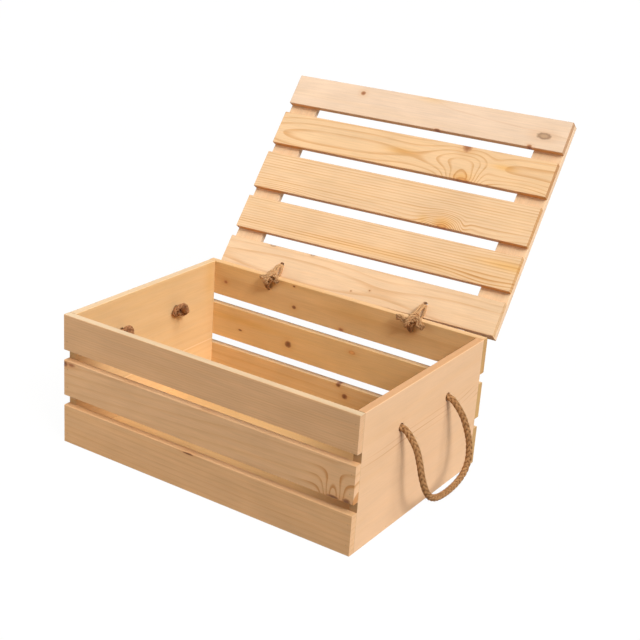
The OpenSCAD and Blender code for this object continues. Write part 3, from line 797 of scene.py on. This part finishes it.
HINGES = (
    # hand, x, knot's centre, its left and right ends from there
    ("left", -HINGE_SPACING / 2, (-123.5, 154.0, 204.0), (-15.5, -2.5, -1.5), (14.5, 1.0, -4.5)),
    ("right", HINGE_SPACING / 2, (133.0, 154.5, 202.5), (-23, -3.5, 0.0), (22, -2.0, -6.0)),
)
for number, (hand, x, knot_at, left_end, right_end) in enumerate(HINGES):
    knot_at = np.array(knot_at)
    skin = Skin()
    for turn_number, line in enumerate(hinge_strands(x, knot_at)):
        # Darker below the rim: painted shade where the twine goes down to the slat's hole
        plies(skin, line, TWINE_D, number=10 * turn_number,
              extra_shade=0.08 + 0.6 * np.clip((197 - line[:, 2]) / 9, 0, 1))
        fuzz(skin, line, TWINE_D, 60, seed=70 + 3 * number + turn_number, long=6)
    strands = skin.piece(hand + "_hinge_strands", twine_jute)
    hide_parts(hand + "_hinge_twine")
    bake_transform(strands)

    skin = Skin()
    left_end, right_end = np.array(left_end), np.array(right_end)
    lead = np.array([left_end, left_end * 0.8 + [0, 0, 0.6], left_end * 0.62 + [0, 0, 0.6]])
    tail = np.array([right_end * 0.62, right_end * 0.8 + [0, 0, 0.5], right_end])
    core = tied(PAIR_D, knot_at, [1, 0, 0], [0, -1, 0.5], lead, tail, 0.5)
    side = frames_along(core)[1]
    for way in (-1, 1):
        line = core + side * (way * 0.27 * PAIR_D)
        run = run_of(line)
        tips = np.minimum(run, run[-1] - run)
        # Darker at the cut ends and on the knot's underside: painted shade
        plies(skin, line, 1.18 * TWINE_D, number=40 + way,
              extra_shade=0.08 + 0.65 * np.clip(1 - tips / 9, 0, 1)
              + 0.35 * np.clip((knot_at[2] - 2 - line[:, 2]) / 8, 0, 1))
        fuzz(skin, line, TWINE_D, 90, seed=90 + 3 * number + way, long=6)
        for first_seed, tip, before in ((110, 0, 4), (130, -1, -5)):
            frayed_end(skin, line[tip], line[tip] - line[before], TWINE_D, 40,
                       seed=first_seed + 3 * number + way, long=3.5)
    heart = smooth_line([knot_at - [5, 0, 0], knot_at, knot_at + [5, 0, 0]], 0.5)
    # The heart strand is darker: painted shade deep in the knot
    plies(skin, heart, 2.2 * TWINE_D, number=60, extra_shade=0.5)
    knot = skin.piece(hand + "_hinge_knot", twine_jute)
    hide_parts(hand + "_hinge_twine")
    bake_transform(knot)


# ---------------------------------------------------------------- stage, light and camera


FLOOR_SIZE = 12         # metres
FLOOR_DROP = 0.0003     # keeps the crate's underside clear of the floor
FLOOR_GLOW = 1.08       # just over white
AMBIENT = 0.18          # strength of the room's even light


def studio_floor():
    """Pale floor: white to the camera, with a faint shadow, and plain paint to all other rays."""
    look = Finish("studio_floor")
    seen = look.seen_plainly()
    place = look.node("TexCoord", output="Object")
    cloud = look.mottle(place, 0.9, 1.0, 1.0)
    paint = look.node("BsdfDiffuse", None, {
        "Color": look.mix(cloud, srgb(166, 160, 152), srgb(160, 154, 146))})
    glow = look.node("Emission", None, {"Color": (1, 1, 1, 1), "Strength": FLOOR_GLOW})
    look.node_output(look.node("MixShader", None, {0: seen * 0.9, 1: paint, 2: glow}))
    return look.material


bpy.ops.mesh.primitive_plane_add(size=FLOOR_SIZE, location=(0, 0, -FLOOR_DROP))
floor = bpy.context.object
floor.name = "studio_floor"
floor.data.materials.append(studio_floor())

world = bpy.data.worlds.new("studio")
bpy.context.scene.world = world
world.use_nodes = True
world.node_tree.nodes.clear()
sky = Finish.__new__(Finish)
sky.tree = world.node_tree
seen = sky.seen_plainly()
background = sky.node("Background", None, {
    "Color": sky.mix(seen, (1.0, 0.90, 0.78, 1), (1, 1, 1, 1)),
    "Strength": AMBIENT + seen * (1 - AMBIENT)})
world_out = world.node_tree.nodes.new("ShaderNodeOutputWorld")
world.node_tree.links.new(background.socket, world_out.inputs["Surface"])


def sun(name, towards, strength, softness):
    lamp = bpy.data.lights.new(name, "SUN")
    lamp.energy = strength
    lamp.angle = math.radians(softness)
    made = bpy.data.objects.new(name, lamp)
    bpy.context.scene.collection.objects.link(made)
    made.rotation_euler = Vector(towards).to_track_quat("Z", "Y").to_euler()
    return made


sun("top", (0.556, -0.147, 0.818), 2.13, 40)
sun("key", (0.697, -0.348, 0.627), 1.4, 15)

panel = bpy.data.lights.new("left_panel", "AREA")
panel.energy, panel.size = 4.6, 0.7
holder = bpy.data.objects.new("left_panel", panel)
bpy.context.scene.collection.objects.link(holder)
holder.location = (-1.1, -0.95, 0.6)
holder.rotation_euler = Vector((-0.95, -0.8, 0.5)).to_track_quat("Z", "Y").to_euler()

PHOTO_SIDE = 640
FOCAL_PIXELS = 1327
AZIMUTH, HEIGHT, ROLL = (math.radians(a) for a in (32.23, 21.419, 4.077))
CAMERA_AT = (0.99307, -1.46145, 0.90843)
back = Vector((math.sin(AZIMUTH) * math.cos(HEIGHT), -math.cos(AZIMUTH) * math.cos(HEIGHT),
               math.sin(HEIGHT)))
level = (-back).cross(Vector((0, 0, 1))).normalized()
upright = level.cross(-back)
right = math.cos(ROLL) * level + math.sin(ROLL) * upright
up = -math.sin(ROLL) * level + math.cos(ROLL) * upright
lens = bpy.data.cameras.new("camera")
lens.sensor_width = 36
lens.lens = FOCAL_PIXELS / PHOTO_SIDE * lens.sensor_width
camera = bpy.data.objects.new("camera", lens)
bpy.context.scene.collection.objects.link(camera)
camera.matrix_world = Matrix((right, up, back)).transposed().to_4x4()
camera.location = CAMERA_AT
bpy.context.scene.camera = camera
bpy.context.scene.view_settings.view_transform = "Standard"
